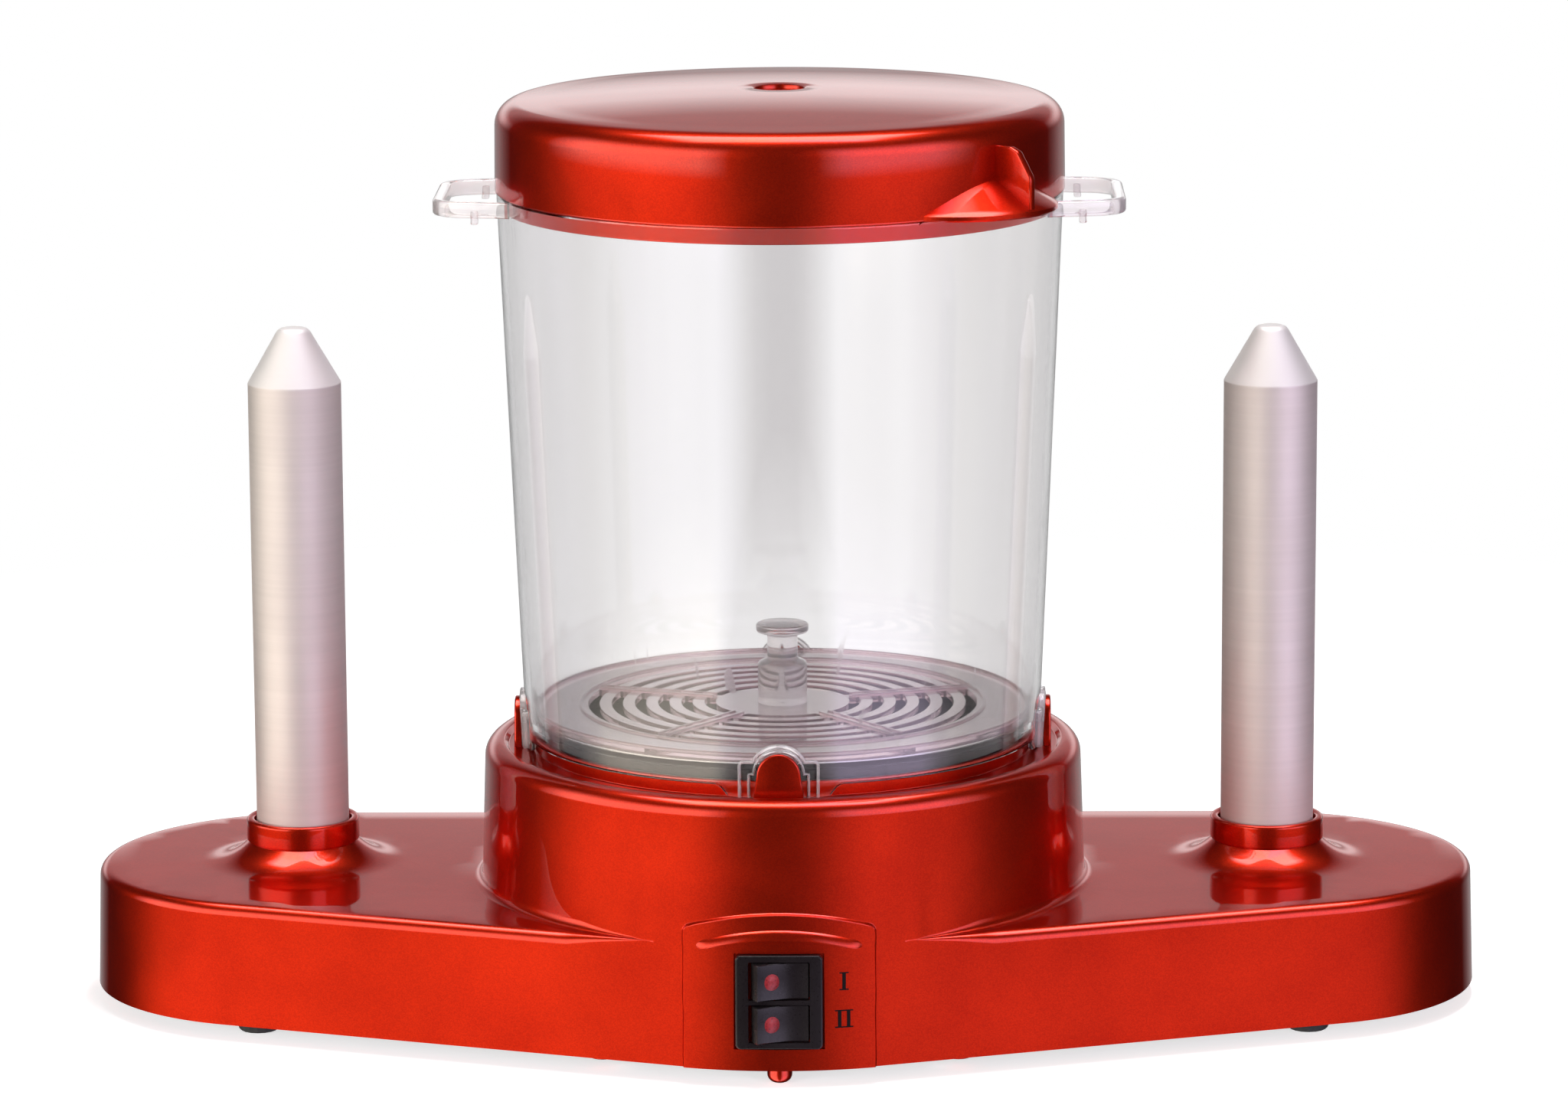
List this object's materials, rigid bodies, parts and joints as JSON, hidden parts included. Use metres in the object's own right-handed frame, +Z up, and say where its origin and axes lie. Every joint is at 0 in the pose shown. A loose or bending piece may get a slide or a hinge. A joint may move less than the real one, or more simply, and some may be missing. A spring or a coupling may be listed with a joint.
{
  "type": "hot dog maker",
  "caption": "Countertop hot dog maker: a red base with a clear steaming container and lid in the middle and an upright warming spike on each wing.",
  "frame": {"origin": "on the drum's axis, at the level of the surface that the feet stand on", "axes": "+X towards the right-hand spike, -Y out of the front with the switches, +Z up"},
  "size_m": [0.42, 0.1919, 0.28],
  "materials": {
    "red_gloss": "glossy metallic red",
    "clear_plastic": "clear, polished",
    "satin_aluminium": "satin",
    "pan_metal": "dark coated",
    "steel": "plain",
    "brass": "plain",
    "black_plastic": "fine matt",
    "black_rubber": "matt",
    "red_lens": "dark red, polished",
    "silicone": "matt",
    "ceramic": "matt"
  },
  "bodies": {
    "base": {"base_housing": "red_gloss", "bottom_cover": "black_plastic", "foot_front_left": "black_rubber", "foot_rear_left": "black_rubber", "foot_front_right": "black_rubber", "foot_rear_right": "black_rubber", "cover_screw_1": "steel", "cover_screw_2": "steel", "cover_screw_3": "steel", "cover_screw_4": "steel", "cover_screw_5": "steel", "cover_screw_6": "steel", "left_flange_screw_1": "steel", "left_flange_screw_2": "steel", "right_flange_screw_1": "steel", "right_flange_screw_2": "steel", "heating_pan": "pan_metal", "pan_gasket": "silicone", "heating_ring": "steel", "clamp_bar": "steel", "clamp_nut": "steel", "thermostat": "ceramic", "thermal_fuse": "ceramic", "left_spike": "satin_aluminium", "right_spike": "satin_aluminium", "left_heater_core": "steel", "right_heater_core": "steel", "left_spike_flange": "steel", "right_spike_flange": "steel", "left_spike_seal": "silicone", "right_spike_seal": "silicone", "switch_body": "black_plastic", "switch_terminal_1": "brass", "switch_terminal_2": "brass", "switch_terminal_3": "brass", "switch_terminal_4": "brass", "cord_bush": "black_rubber", "terminal_block": "ceramic"},
    "container": {"container": "clear_plastic"},
    "tray": {"steam_tray": "clear_plastic"},
    "lid": {"lid": "red_gloss"},
    "upper_rocker": {"upper_rocker": "black_plastic", "upper_lens": "red_lens"},
    "lower_rocker": {"lower_rocker": "black_plastic", "lower_lens": "red_lens"}
  },
  "joints": [
    {"name": "container_lift", "type": "slide", "parent": "base", "child": "container", "axis": [0, 0, 1], "range_m": [0, 0.06]},
    {"name": "tray_lift", "type": "slide", "parent": "container", "child": "tray", "axis": [0, 0, 1], "range_m": [0, 0.11]},
    {"name": "lid_lift", "type": "slide", "parent": "container", "child": "lid", "axis": [0, 0, 1], "range_m": [0, 0.06]},
    {"name": "upper_rocker_tilt", "type": "hinge", "parent": "base", "child": "upper_rocker", "pos_m": [0, -0.0906, 0.03185], "axis": [0, 0, 1], "range_deg": [-30, 0]},
    {"name": "lower_rocker_tilt", "type": "hinge", "parent": "base", "child": "lower_rocker", "pos_m": [0, -0.0906, 0.01915], "axis": [0, 0, 1], "range_deg": [-30, 0]}
  ]
}
